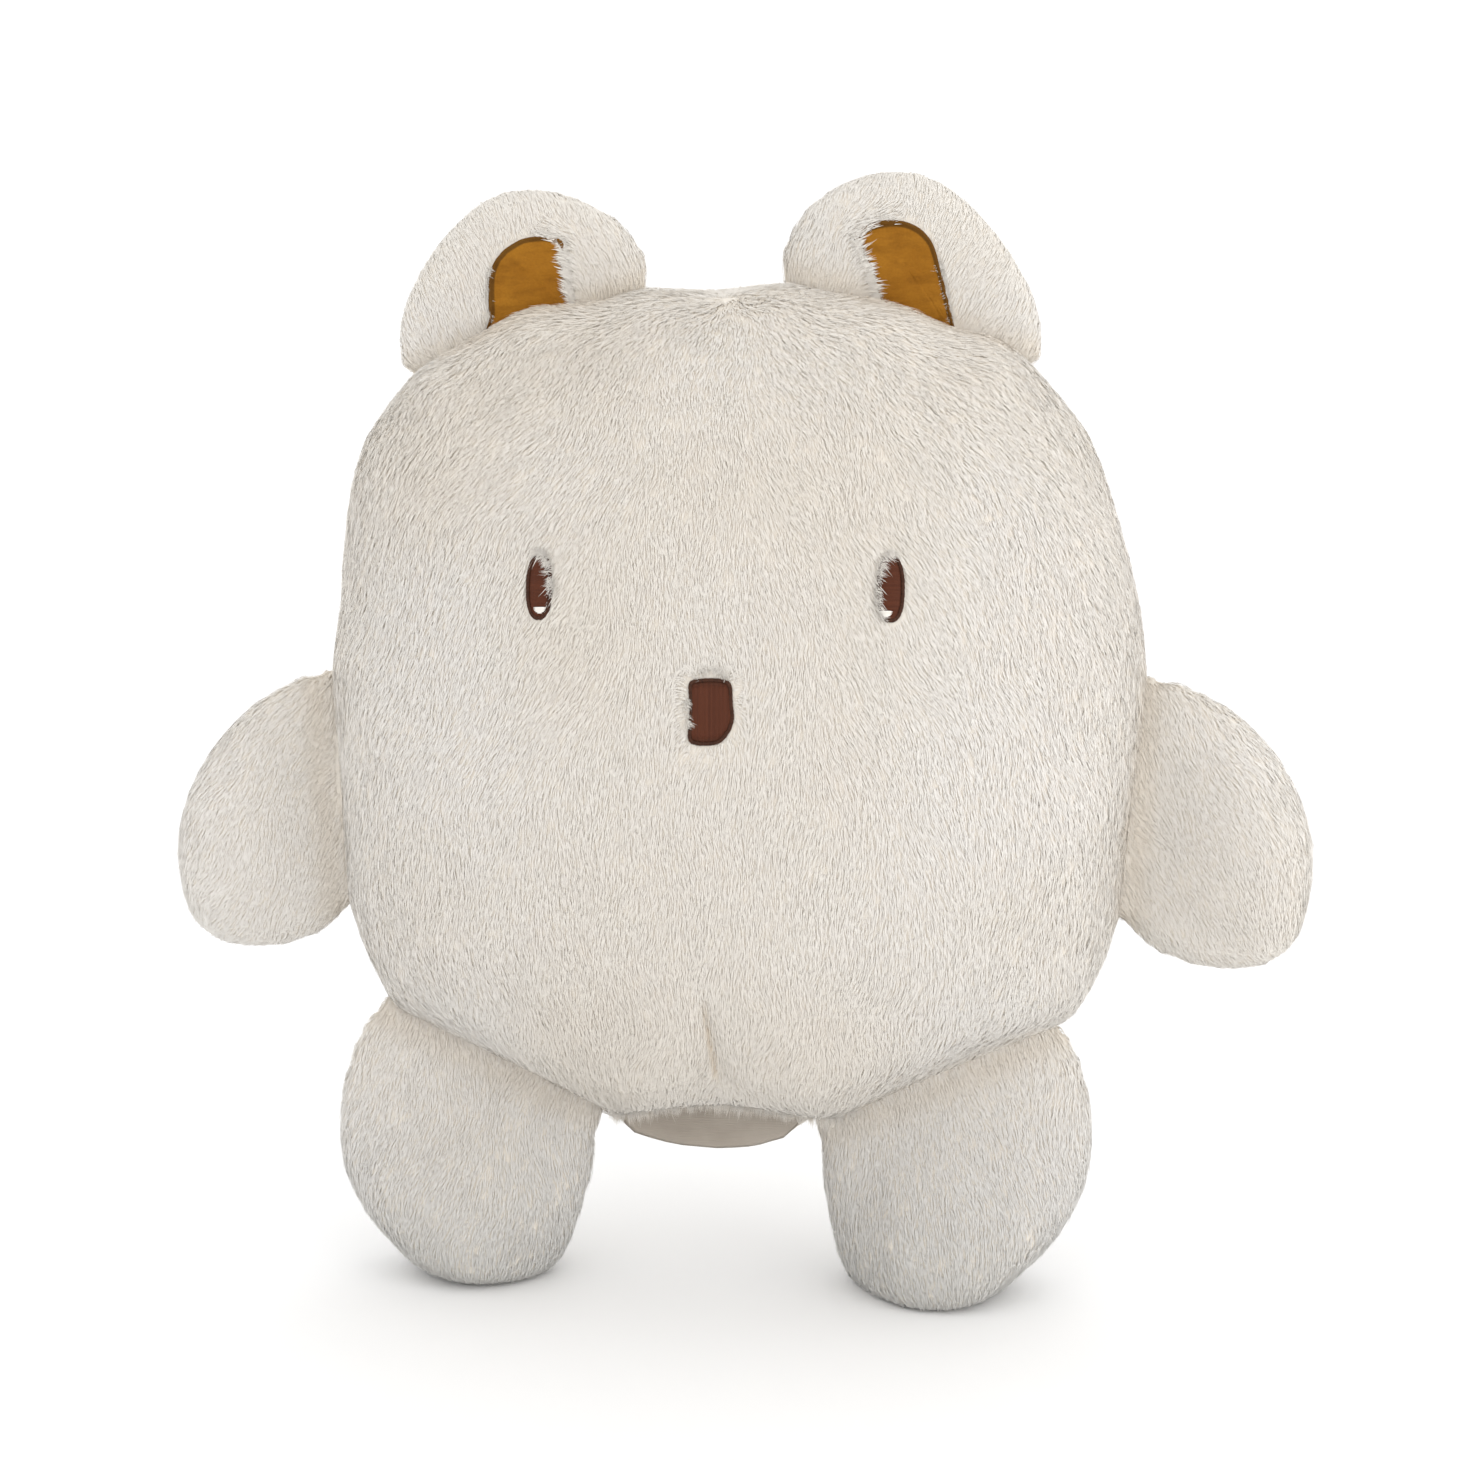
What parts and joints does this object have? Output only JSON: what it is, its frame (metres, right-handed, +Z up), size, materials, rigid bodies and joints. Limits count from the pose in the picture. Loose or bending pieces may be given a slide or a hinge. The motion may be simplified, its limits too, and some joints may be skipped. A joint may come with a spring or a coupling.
{
  "type": "reversible plush toy",
  "caption": "Soft pillow-shaped plush animal in cream pile with round ears, short arms and legs, a stitched face and a pouch opening below for turning it inside out.",
  "frame": {"origin": "on the floor between the soles, at the middle of the toy's box from side to side and front to back", "axes": "+Z up, the face looks towards -Y, and +X is the toy's own left"},
  "size_m": [0.3494, 0.1246, 0.3406],
  "materials": {
    "cream_pile": "short soft pile",
    "pouch_lining": "smooth short-napped cloth",
    "fibre_fill": "loose polyester fibre",
    "tan_suede": "brushed suede cloth",
    "brown_thread": "satin-stitched thread",
    "white_thread": "satin-stitched thread"
  },
  "bodies": {
    "torso": {"body_front_panel": "cream_pile", "body_back_panel": "cream_pile", "body_front_stuffing": "fibre_fill", "body_back_stuffing": "fibre_fill", "pouch_front_lining": "pouch_lining", "pouch_back_lining": "pouch_lining", "eye_left": "brown_thread", "eye_left_glint": "white_thread", "eye_right": "brown_thread", "eye_right_glint": "white_thread", "nose_patch": "brown_thread"},
    "arm_left": {"arm_left_front_panel": "cream_pile", "arm_left_back_panel": "cream_pile", "arm_left_stuffing": "fibre_fill"},
    "arm_right": {"arm_right_front_panel": "cream_pile", "arm_right_back_panel": "cream_pile", "arm_right_stuffing": "fibre_fill"},
    "leg_left": {"leg_left_front_panel": "cream_pile", "leg_left_back_panel": "cream_pile", "leg_left_stuffing": "fibre_fill"},
    "leg_right": {"leg_right_front_panel": "cream_pile", "leg_right_back_panel": "cream_pile", "leg_right_stuffing": "fibre_fill"},
    "ear_left": {"ear_left_front_panel": "cream_pile", "ear_left_back_panel": "cream_pile", "ear_left_stuffing": "fibre_fill", "ear_left_inner_patch": "tan_suede"},
    "ear_right": {"ear_right_front_panel": "cream_pile", "ear_right_back_panel": "cream_pile", "ear_right_stuffing": "fibre_fill", "ear_right_inner_patch": "tan_suede"}
  },
  "joints": [
    {"name": "arm_left_swing", "type": "hinge", "parent": "torso", "child": "arm_left", "pos_m": [0.125, 0.00214, 0.15276], "axis": [-0.09, 0, -0.9959], "range_deg": [-60, 60], "stiffness_Nm_per_rad": 0.02},
    {"name": "arm_right_swing", "type": "hinge", "parent": "torso", "child": "arm_right", "pos_m": [-0.125, 0.00214, 0.15276], "axis": [-0.09, 0, 0.9959], "range_deg": [-60, 60], "stiffness_Nm_per_rad": 0.02},
    {"name": "leg_left_swing", "type": "hinge", "parent": "torso", "child": "leg_left", "pos_m": [0.06968, 0.00214, 0.06545], "axis": [-0.9117, 0, -0.4109], "range_deg": [-45, 70], "stiffness_Nm_per_rad": 0.08},
    {"name": "leg_right_swing", "type": "hinge", "parent": "torso", "child": "leg_right", "pos_m": [-0.06968, 0.00214, 0.06545], "axis": [-0.9117, 0, 0.4109], "range_deg": [-45, 70], "stiffness_Nm_per_rad": 0.08},
    {"name": "ear_left_swing", "type": "hinge", "parent": "torso", "child": "ear_left", "pos_m": [0.05956, 0.00214, 0.29614], "axis": [0.9454, 0, -0.3258], "range_deg": [-50, 60], "stiffness_Nm_per_rad": 0.02},
    {"name": "ear_right_swing", "type": "hinge", "parent": "torso", "child": "ear_right", "pos_m": [-0.05956, 0.00214, 0.29614], "axis": [0.9454, 0, 0.3258], "range_deg": [-50, 60], "stiffness_Nm_per_rad": 0.02}
  ]
}
